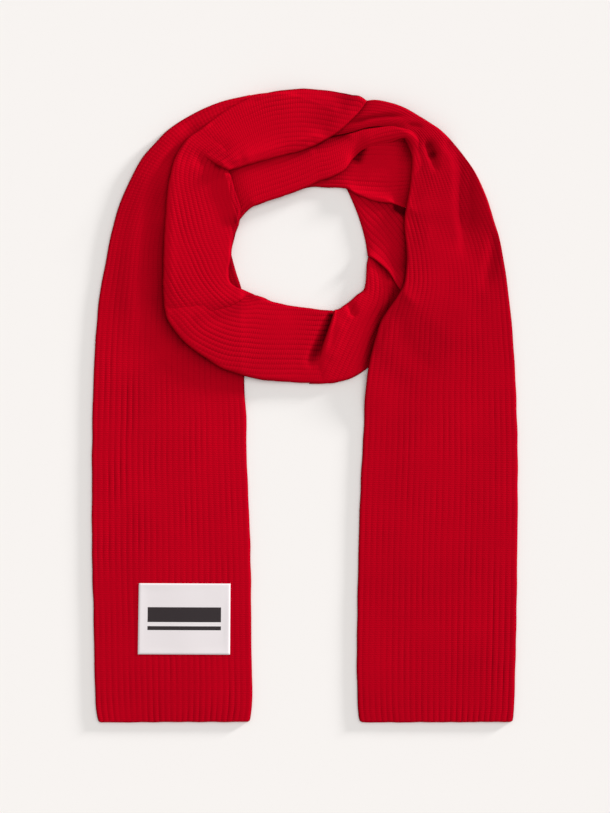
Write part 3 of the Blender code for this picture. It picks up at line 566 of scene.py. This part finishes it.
def shell(name, top, low, uv, material):
    """A closed shell between two grids of points, from one grid that is given a wall."""
    rows, columns = top.shape[:2]
    bm = bmesh.new()
    bmesh.ops.create_grid(bm, x_segments=columns - 1, y_segments=rows - 1, size=1)
    bmesh.ops.solidify(bm, geom=bm.faces[:], thickness=0.5)
    bmesh.ops.recalc_face_normals(bm, faces=bm.faces[:])
    mesh = bpy.data.meshes.new(name)
    bm.to_mesh(mesh)
    bm.free()
    flat = np.empty(len(mesh.vertices) * 3, np.float32)
    mesh.vertices.foreach_get("co", flat)
    flat = flat.reshape(-1, 3)
    across = np.rint((flat[:, 0] + 1) / 2 * (columns - 1)).astype(int)
    along = np.rint((flat[:, 1] + 1) / 2 * (rows - 1)).astype(int)
    upper = flat[:, 2] > flat[:, 2].mean()
    a, b, c = top[0, 0], top[0, -1], top[-1, 0]
    # A grid that runs clockwise is mirrored, so that its faces still look outwards.
    if (b - a)[0] * (c - a)[1] - (b - a)[1] * (c - a)[0] < 0:
        across = columns - 1 - across
    place = np.where(upper[:, None], top[along, across], low[along, across]) * MM
    mesh.vertices.foreach_set("co", place.astype(np.float32).ravel())
    corner = np.empty(len(mesh.loops), np.int32)
    mesh.loops.foreach_get("vertex_index", corner)
    layer = mesh.uv_layers.new(name="knit")
    layer.data.foreach_set("uv", uv[along, across][corner].astype(np.float32).ravel())
    mesh.shade_smooth()
    mesh.materials.append(material)
    mesh.update()
    obj = bpy.data.objects.new(name, mesh)
    bpy.context.scene.collection.objects.link(obj)
    LAID.append((name, obj, top, (along, across), upper))
    return obj


def shade_creases():
    """Stores painted shade for each point of the knit: how little sky it sees, with heights drawn steeper
    than they are, plus its stretch's painted shade and light.
    """
    high = spread(support_map(TOPS))
    turns, rib, steeper = 16, 0.8, 2.2  # directions looked in, a rise that hides no sky, and steepening
    for name, obj, top, place, upper in LAID:
        hidden = np.zeros(top.shape[:2])
        for turn in np.linspace(0, 2 * math.pi, turns, endpoint=False):
            steepest = np.zeros(hidden.shape)
            for distance in (3, 5, 8, 12, 17, 24):
                step = distance * np.array([math.cos(turn), math.sin(turn)])
                rise = sample(high, top[..., :2] + step) - top[..., 2] - rib
                steepest = np.maximum(steepest, rise / distance)
            hidden += 1 - 1 / (1 + (steeper * steepest) ** 2)
        hidden = np.minimum(hidden / turns, 0.7) + PAINTED_SHADE.get(name, 0)
        # The undersides get a fixed painted shade.
        shade = np.where(upper, hidden[place], 0.3)
        layer = obj.data.attributes.new("shade", "FLOAT", "POINT")
        layer.data.foreach_set("value", shade.astype(np.float32))


def end_shape(table, name, distance, t):
    """Lift of a stretch near one of its ends, and how far its rows bow out there."""
    bow, length, lifts = table.get(name, (0, 1, [(0, 0)]))
    near = 1 - smoothstep(distance / length)
    lift = np.interp(t, [k for k, _ in lifts], [h for _, h in lifts])
    return lift * near, bow * (1 - smoothstep(distance / (1.6 * length))) * 4 * t * (1 - t)


def columns(width, count):
    """Places across a stretch, from its inner (0) to its outer (1) edge, closer at the rims."""
    rim = np.array([0, 0.12, 0.4, 0.9, 1.6])
    share = np.minimum(rim / width, 0.3 * rim / rim[-1])
    body = share[:, -1:] + np.linspace(0, 1, count + 2)[1:-1] * (1 - 2 * share[:, -1:])
    return np.concatenate([share, body, 1 - share[:, ::-1]], axis=1)


def rib_relief(knit, seed, number, along, bold):
    """How far the knit stands up in its ribs, in mm, and how deep the valleys between them are."""
    valley = np.rint(number).astype(int)
    depth = np.random.default_rng(seed + 2).uniform(0.6, 1.05, 200)[valley + 80]
    depth = bold * np.clip(depth * (1 + 0.9 * ripple(seed + 4, 9 * valley, along, 70)), 0, 1.3)
    crest = np.abs(np.sin(math.pi * number)) ** 0.4
    return knit.rib_height / MM * (1 - depth * (1 - crest)), depth


def lay_stretch(
    context, name, table, under=(), *, seed, fine=7, step=1.4, hems=(0, 0), fall=FALL, bold=LOOP_RIBS
):
    """Lays one stretch of the strip over those under it.

    fine is the number of columns in a rib, step the distance between rows in mm, hems whether its
    start and its end have one (1) or not (0), fall how steeply the stretch comes down off what it
    lies on, and bold how strong its ribs are.
    """
    knit = context.scene.scarf_knit
    tail = "tail" in name
    rows, at = spline(table, step, hems)
    inner, outer = rows[:, None, 0:2], rows[:, None, 2:4]
    width = np.linalg.norm(outer - inner, axis=-1)
    if tail:
        reach = OVERHANG * (outer - inner) / width[..., None]
        inner, outer, width = inner - reach, outer + reach, width + 2 * OVERHANG
    ribs = np.abs(rows[:, 8] - rows[:, 7]).max()
    t = columns(width, math.ceil(ribs * fine))

    # The plan: straight across, bowed at a turn, with slightly wavy side edges and hems.
    to_start, to_end = at[:, None], (at[-1] - at)[:, None]
    start_lift, start_bow = end_shape(STARTS, name, to_start, t)
    end_lift, end_bow = end_shape(ENDS, name, to_end, t)
    across = (outer - inner) / width[..., None]
    ahead = np.gradient((rows[:, 0:2] + rows[:, 2:4]) / 2, at, axis=0)
    ahead = (ahead / np.linalg.norm(ahead, axis=1)[:, None])[:, None, :]
    from_side = np.minimum(t, 1 - t) * width
    sideways = SIDE_WAVE * ripple(seed + 7, 200 * t, at[:, None], 24) * (1 - smoothstep(from_side / 9))
    at_hem = hems[0] * (1 - smoothstep(to_start / 14)) + hems[1] * (1 - smoothstep(to_end / 14))
    onward = HEM_WAVE * ripple(seed + 8, width * t, 0 * t, 22) * at_hem + end_bow - start_bow
    plan = inner + across * (t * width + sideways)[..., None] + onward[..., None] * ahead
    x, y = plan[..., 0], plan[..., 1]

    # The ribs, which stray a little away from the side edges.
    number = rows[:, 7:8] * (1 - t) + rows[:, 8:9] * t
    stray = ripple(seed, x, y, 120) + 0.4 * ripple(seed + 1, x, y, 35)
    number = number + knit.rib_wander * stray * smoothstep(from_side / 12)
    bold = add_folds(bold, BOLDER, name, plan)
    relief, depth = rib_relief(knit, seed, number, at[:, None], bold)

    # The height of the stretch over what it lies on.
    high = rows[:, 4:5] * (1 - t) + rows[:, 5:6] * t + rows[:, 6:7] * (4 * t * (1 - t)) ** 0.7
    high = add_folds(high, FOLDS, name, plan)
    high = high + SWELL * ripple(seed + 3, x, y, 110) + start_lift + end_lift
    sunk = np.minimum(high - THINNEST, 0)
    high = np.maximum(high, THINNEST)

    # The edges are rounded, and a turn's end more loosely than a hem.
    edge = from_side
    for distance, hem, turned in ((to_start, hems[0], name in STARTS), (to_end, hems[1], name in ENDS)):
        if hem or turned:
            edge = np.minimum(edge, distance if hem else distance / 2)
    near = np.clip(edge / np.minimum(0.7 * high, EDGE_RADIUS), 0, 1)
    rounding = np.sqrt(1 - (1 - near) ** 2)

    base = sample(drape(support_map(under), fall), plan) if under else np.zeros(t.shape)
    base = np.maximum(base + sunk, 0)
    side = 0.3 * high
    top_z = base + side + (high - side + relief) * rounding
    low_z = np.maximum(base + side - side * rounding - 0.05, 0.02)
    smooth_top = base + side + (high - side + knit.rib_height / MM) * rounding
    TOPS[name] = finer(np.dstack([plan, smooth_top]), 2, 3)
    along = np.broadcast_to(at[:, None] * MM, t.shape)
    if name in COURSES:
        along = plan @ np.array(COURSES[name]) * MM
    top, low, uv = (np.dstack(pair) for pair in ((plan, top_z), (plan, low_z), (number, along)))
    obj = shell(name, top, low, uv, knit_material(knit))
    # The depth of the valleys is stored too. It sets how strong the painted shade between the ribs and the
    # painted highlight on the loops are.
    layer = obj.data.attributes.new("bold", "FLOAT", "POINT")
    layer.data.foreach_set("value", depth[LAID[-1][3]].astype(np.float32))
    # Painted shade and light: the stretch's own along its rows, more painted shade along its side edges,
    # and that of its creases and edges.
    shade_stops = PAINTED_STRETCH_SHADE.get(name, [(0, 0)])
    painted_tone = np.interp(at / at[-1], [k for k, _ in shade_stops], [v for _, v in shade_stops])[:, None]
    rim_shade = 0.36 if tail else 0.18
    painted_tone = painted_tone + rim_shade * (1 - smoothstep(from_side / 2.2))
    PAINTED_SHADE[name] = add_folds(painted_tone, PAINTED_SHADE_LINES, name, plan)
    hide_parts(name)
    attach(obj, "root")


def linear(hex_colour):
    """An sRGB hex colour as the linear values that a shader takes."""
    parts = [int(hex_colour[k : k + 2], 16) / 255 for k in (1, 3, 5)]
    return tuple(c / 12.92 if c <= 0.04045 else ((c + 0.055) / 1.055) ** 2.4 for c in parts) + (1.0,)


def set_inputs(node, inputs):
    """Gives a node's inputs their values or links."""
    for key, value in dict(inputs).items():
        if isinstance(value, NodeSocket):
            node.id_data.links.new(value, node.inputs[key])
        else:
            node.inputs[key].default_value = value


def add_node(tree, kind, inputs=(), output=0, **settings):
    """Adds a node with its inputs and settings, and returns one of its outputs."""
    made = tree.nodes.new(f"ShaderNode{kind}")
    for key, value in settings.items():
        setattr(made, key, value)
    set_inputs(made, inputs)
    return made.outputs[output]


def new_material(name):
    """A new material, its node tree and its shader."""
    made = bpy.data.materials.new(name)
    made.use_nodes = True
    return made, made.node_tree, made.node_tree.nodes["Principled BSDF"]


def knit_material(knit):
    """Soft matt wool in rib knit, with no gloss; its colour holds a painted highlight on the loops and
    painted shade between the ribs and in creases.
    """
    found = bpy.data.materials.get("ribbed_wool_knit")
    if found:
        return found
    made, tree, shader = new_material("ribbed_wool_knit")
    rib = add_node(tree, "SeparateXYZ", {0: add_node(tree, "UVMap", uv_map="knit")})
    point = add_node(tree, "TexCoord", output="Object")
    sums = {
        "rib": rib,
        "along": rib.node.outputs[1],
        "bold": add_node(tree, "Attribute", output="Fac", attribute_name="bold"),
        "crease": add_node(tree, "Attribute", output="Fac", attribute_name="shade"),
        # Fuzz of the yarn: 0.9 to a millimetre, coarser than real so that it shows.
        "fuzz": add_node(tree, "TexNoise", {"Vector": point, "Scale": 0.9 / MM, "Detail": 2.0}),
        # The yarn is a little uneven over a hand's width, about 70 mm.
        "uneven": add_node(tree, "TexNoise", {"Vector": point, "Scale": 0.014 / MM, "Detail": 3.0}),
    }
    for name, operation, *values in (
        # How far a point is from the crest of its rib (0) towards the valley beside it (1).
        ("off_crest", "PINGPONG", "rib", 0.5),
        ("off_crest", "MULTIPLY_ADD", "off_crest", -2, 1),
        # Stitches: two columns of loops in each rib, one on either side of its crest.
        ("course", "DIVIDE", "along", COURSE * MM),
        ("course", "MULTIPLY_ADD", "off_crest", 0.25, "course"),
        ("loops", "MULTIPLY", "course", 2 * math.pi),
        ("loops", "SINE", "loops"),
        ("column", "MULTIPLY", "off_crest", math.pi),
        ("column", "SINE", "column"),
        ("column", "MULTIPLY_ADD", "column", 0.36, 0.04),
        ("strength", "MULTIPLY_ADD", "bold", 0.4, 0.45),
        ("stitch", "MULTIPLY", "loops", "column"),
        ("stitch", "MULTIPLY", "stitch", "strength"),
        ("height", "MULTIPLY_ADD", "fuzz", 0.6, "stitch"),
        # Colour: painted shade down between two ribs and in creases, a painted highlight on the loops.
        ("deep", "POWER", "off_crest", 8),
        ("deep", "MULTIPLY", "deep", 0.42),
        ("deep", "MULTIPLY_ADD", "deep", "bold", 0.1),
        ("deep", "MULTIPLY_ADD", "crease", knit.crease_shade, "deep"),
        ("uneven", "SUBTRACT", "uneven", 0.5),
        ("deep", "MULTIPLY_ADD", "uneven", 0.25, "deep"),
        ("deep", "MULTIPLY_ADD", "stitch", -0.3, "deep"),
    ):
        inputs = {k: sums.get(value, value) for k, value in enumerate(values)}
        sums[name] = add_node(tree, "Math", inputs, operation=operation)
    colours = {"Factor": sums["deep"], "A": linear(knit.yarn_colour), "B": linear(knit.shade_colour)}
    relief = {"Strength": knit.stitch_relief, "Distance": 0.4 * MM, "Height": sums["height"]}
    looks = {
        "Base Color": add_node(tree, "Mix", colours, "Result", data_type="RGBA"),
        "Normal": add_node(tree, "Bump", relief),
        "Roughness": 1.0,
        "Specular IOR Level": 0.0,
        "Sheen Weight": 0.08,
        "Sheen Roughness": 0.5,
        "Sheen Tint": linear("#FF2030"),
    }
    set_inputs(shader, looks)
    return made


def label_material(label):
    """White woven satin, fused flat: a soft sheen along the fine weft, edges turned under."""
    made, tree, shader = new_material("woven_satin_label")
    across = add_node(tree, "SeparateXYZ", {0: add_node(tree, "UVMap", uv_map="knit")})
    sums = {"across": across, "up": across.node.outputs[1]}
    for name, operation, *values in (
        # Threads: real ones are 0.2 mm apart, drawn at 0.8 and 1.1 mm so that they show.
        ("weft", "MULTIPLY", "up", 2 * math.pi * label.depth / (0.8 * MM)),
        ("weft", "SINE", "weft"),
        ("warp", "MULTIPLY", "across", 2 * math.pi * label.width / (1.1 * MM)),
        ("warp", "SINE", "warp"),
        ("weave", "MULTIPLY", "weft", "warp"),
        # Two plain bars, one broad and one thin, in the middle of the label.
        ("within", "COMPARE", "across", 0.5, 0.4),
        ("broad", "COMPARE", "up", 0.44, 0.105),
        ("thin", "COMPARE", "up", 0.63, 0.028),
        ("bars", "ADD", "broad", "thin"),
        ("bars", "MULTIPLY", "bars", "within"),
    ):
        inputs = {k: sums.get(value, value) for k, value in enumerate(values)}
        sums[name] = add_node(tree, "Math", inputs, operation=operation)
    colours = {"Factor": sums["bars"], "A": linear(label.satin_colour), "B": linear(label.bar_colour)}
    relief = {"Strength": 0.15, "Distance": 0.1 * MM, "Height": sums["weave"]}
    looks = {
        "Base Color": add_node(tree, "Mix", colours, "Result", data_type="RGBA"),
        "Normal": add_node(tree, "Bump", relief),
        "Roughness": 0.45,
        "Specular IOR Level": 0.25,
    }
    set_inputs(shader, looks)
    return made


def table_material(stage):
    """Matt painted board: no gloss, so it shows nothing but soft shadows."""
    made, tree, shader = new_material("matt_pale_table")
    looks = {"Base Color": linear(stage.floor_colour), "Roughness": 1.0, "Specular IOR Level": 0.0}
    set_inputs(shader, looks)
    return made


class KnitSettings(PropertyGroup):
    """The rib knit that every stretch of the scarf shares."""

    rib_height: FloatProperty(
        name="Rib height", description="How far a rib stands off the knit", default=0.0007, unit="LENGTH"
    )
    rib_wander: FloatProperty(
        name="Rib wander", description="How far the ribs stray, in ribs", default=0.13, subtype="FACTOR"
    )
    stitch_relief: FloatProperty(
        name="Stitch relief", description="How deep the stitches look", default=0.8, subtype="FACTOR"
    )
    crease_shade: FloatProperty(
        name="Crease shade", description="How dark creases look", default=0.9, subtype="FACTOR"
    )
    yarn_colour: StringProperty(
        name="Yarn colour", description="Colour of the yarn, as sRGB hex", default="#C1031C"
    )
    # Painted shade: the colour mixed into the yarn between the ribs and in creases.
    shade_colour: StringProperty(
        name="Shade colour", description="Colour down between the ribs, as sRGB hex", default="#50000A"
    )


class LabelSettings(PropertyGroup):
    """The satin patch sewn on the left tail."""

    width: FloatProperty(
        name="Width", description="Size across the tail", default=LABEL_SIZE[0], unit="LENGTH"
    )
    depth: FloatProperty(
        name="Depth", description="Size along the tail", default=LABEL_SIZE[1], unit="LENGTH"
    )
    satin_colour: StringProperty(
        name="Satin colour", description="Colour of the satin, as sRGB hex", default="#E8E0E1"
    )
    bar_colour: StringProperty(
        name="Bar colour", description="Colour of the two bars, as sRGB hex", default="#2A2023"
    )


class StageSettings(PropertyGroup):
    """Table, light and camera."""

    floor_colour: StringProperty(
        name="Table colour", description="Colour of the table, as sRGB hex", default="#F8F4F1"
    )
    eye_height: FloatProperty(
        name="Eye height", description="Height of the camera over the table", default=4.0, unit="LENGTH"
    )
    view_height: FloatProperty(
        name="View height", description="Height of the picture on the table", default=0.8602, unit="LENGTH"
    )


class SCARF_OT_left_tail(Operator):
    """Lays the left tail, with its hem and its curve round the loop."""

    bl_idname = "scarf.left_tail"
    bl_label = "Left tail"

    def execute(self, context):
        lay_stretch(
            context, "tail_left", TAIL_LEFT, seed=11, fine=6, step=2.7, hems=(1, 0), bold=TAIL_RIBS
        )
        return {"FINISHED"}


class SCARF_OT_first_turn(Operator):
    """Lays the first turn: down the right of the neck, across the front, and the pass behind the neck."""

    bl_idname = "scarf.first_turn"
    bl_label = "First turn round the neck"

    def execute(self, context):
        lay_stretch(context, "loop_right_low", LOOP_RIGHT_LOW, seed=21)
        lay_stretch(context, "loop_right_top", LOOP_RIGHT_TOP, ("loop_right_low",), seed=31)
        lay_stretch(context, "loop_front", LOOP_FRONT, ("tail_left",), seed=41, fall=0.06)
        lay_stretch(context, "neck_under", NECK_UNDER, ("loop_right_top",), seed=51, fine=6, step=1.6)
        return {"FINISHED"}


class SCARF_OT_right_tail(Operator):
    """Lays the right tail, with its gathered top and its hem."""

    bl_idname = "scarf.right_tail"
    bl_label = "Right tail"

    def execute(self, context):
        under = ("loop_right_top", "loop_right_low", "loop_front", "neck_under")
        lay_stretch(
            context, "tail_right", TAIL_RIGHT, under,
            seed=61, fine=6, step=2.8, hems=(0, 1), fall=0.13, bold=TAIL_RIBS,
        )
        return {"FINISHED"}


class SCARF_OT_second_turn(Operator):
    """Lays the second turn: the roll behind the neck, the left of the loop, and the top over both."""

    bl_idname = "scarf.second_turn"
    bl_label = "Second turn round the neck"

    def execute(self, context):
        under = ("tail_left", "neck_under")
        lay_stretch(context, "neck_fold", NECK_FOLD, (*under, "loop_right_top"), seed=71)
        lay_stretch(context, "loop_left", LOOP_LEFT, (*under, "neck_fold"), seed=81)
        lay_stretch(context, "neck_over", NECK_OVER, (*under, "neck_fold", "tail_right"), seed=91)
        return {"FINISHED"}


class SCARF_OT_label(Operator):
    """Sews the satin patch on the left tail."""

    bl_idname = "scarf.label"
    bl_label = "Label patch"

    def execute(self, context):
        label = context.scene.scarf_label
        middle = np.mean(LABEL, axis=0)
        corner = middle + (LABEL - middle) * (label.width, label.depth) / LABEL_SIZE
        wide, deep = round(label.width / MM), round(label.depth / MM)
        u = np.linspace(0, 1, 49)[None, :, None]
        v = np.linspace(0, 1, 41)[:, None, None]
        by_neck = corner[0] * (1 - u) + corner[1] * u
        by_hem = corner[3] * (1 - u) + corner[2] * u
        plan = by_neck * (1 - v) + by_hem * v
        # The patch bridges the ribs under it, so it lies on their crests, smoothed.
        high = support_map(("tail_left",))
        for _ in range(3):
            beside = [np.roll(high, shift, (0, 1)) for shift in ((1, 0), (-1, 0), (0, 1), (0, -1))]
            high = np.maximum.reduce([high, *beside])
        for _ in range(12):
            high = spread(high)
        base = sample(high, plan) + 0.1
        edge = np.minimum(np.minimum(u, 1 - u) * wide, np.minimum(v, 1 - v) * deep)[..., 0]
        hem = 0.1 * smoothstep(edge / 1.2) * (1 - smoothstep((edge - 3) / 4))
        sewn = 0.05 * smoothstep(edge / 5)
        dent = 0.35 * ripple(5, plan[..., 0], plan[..., 1], 60) * smoothstep(edge / 10)
        top = np.dstack([plan, base + 0.4 + hem - sewn + dent])
        low = np.dstack([plan, base - 0.1])
        uv = np.dstack([np.broadcast_to(side[..., 0], base.shape) for side in (1 - u, v)])
        obj = shell("label_patch", top, low, uv, label_material(label))
        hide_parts("label_patch")
        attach(obj, "root")
        return {"FINISHED"}


class SCARF_OT_creases(Operator):
    """Works out where the laid knit lies in creases, and stores that as painted shade for the knit's
    colour.
    """

    bl_idname = "scarf.creases"
    bl_label = "Crease shade"

    def execute(self, context):
        shade_creases()
        return {"FINISHED"}


class SCARF_OT_stage(Operator):
    """Sets up the table, the light and the camera."""

    bl_idname = "scarf.stage"
    bl_label = "Table, light and camera"

    def execute(self, context):
        stage, link = context.scene.scarf_stage, context.scene.collection.objects.link
        bm = bmesh.new()
        bmesh.ops.create_grid(bm, x_segments=1, y_segments=1, size=4)
        mesh = bpy.data.meshes.new("table")
        bm.to_mesh(mesh)
        bm.free()
        mesh.materials.append(table_material(stage))
        table = bpy.data.objects.new("table", mesh)
        link(table)

        # Half of the light on the table is the room's, and the rest comes from two windows. They have a
        # share of the light, a height over the table and a width, both in degrees.
        windows = (("high_window", 0.31, 65, 50), ("side_window", 0.19, 8.5, 7))
        world = bpy.data.worlds.new("soft_room")
        world.use_nodes = True
        set_inputs(world.node_tree.nodes["Background"], {"Color": (1, 1, 1, 1), "Strength": 0.5})
        context.scene.world = world
        for name, share, height, wide in windows:
            height, turn = math.radians(height), math.radians(34)
            sun = bpy.data.lights.new(name, "SUN")
            sun.energy = share * math.pi / math.sin(height)
            sun.angle = math.radians(wide)
            lamp = bpy.data.objects.new(name, sun)
            flat = math.cos(height)
            to_light = Vector((math.cos(turn) * flat, math.sin(turn) * flat, math.sin(height)))
            lamp.rotation_euler = to_light.to_track_quat("Z", "Y").to_euler()
            link(lamp)
        context.scene.view_settings.view_transform = "Standard"

        camera = bpy.data.cameras.new("camera")
        camera.sensor_width = 36
        camera.lens = 36 * stage.eye_height / stage.view_height
        camera.clip_end = 20
        eye = bpy.data.objects.new("camera", camera)
        eye.location = (0.0002, -0.0015, stage.eye_height)  # the scarf lies a little off the middle
        link(eye)
        context.scene.camera = eye
        return {"FINISHED"}


class SCARF_PT_pieces(Panel):
    """Lists the steps that lay the scarf."""

    bl_label = "Rib-Knit Scarf"
    bl_idname = "SCARF_PT_pieces"
    bl_space_type = "VIEW_3D"
    bl_region_type = "UI"
    bl_category = "Scarf"

    def draw(self, context):
        for operator in OPERATORS:
            self.layout.operator(operator.bl_idname)


OPERATORS = (
    SCARF_OT_left_tail,
    SCARF_OT_first_turn,
    SCARF_OT_right_tail,
    SCARF_OT_second_turn,
    SCARF_OT_label,
    SCARF_OT_creases,
    SCARF_OT_stage,
)
GROUPS = (("scarf_knit", KnitSettings), ("scarf_label", LabelSettings), ("scarf_stage", StageSettings))


def register():
    for name, group in GROUPS:
        bpy.utils.register_class(group)
        setattr(bpy.types.Scene, name, PointerProperty(type=group))
    for made in (*OPERATORS, SCARF_PT_pieces):
        bpy.utils.register_class(made)


def unregister():
    for made in (SCARF_PT_pieces, *reversed(OPERATORS)):
        bpy.utils.unregister_class(made)
    for name, group in reversed(GROUPS):
        delattr(bpy.types.Scene, name)
        bpy.utils.unregister_class(group)


def main():
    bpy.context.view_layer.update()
    register()
    for operator in OPERATORS:
        group, step = operator.bl_idname.split(".")
        getattr(getattr(bpy.ops, group), step)()


if __name__ == "__main__":
    main()
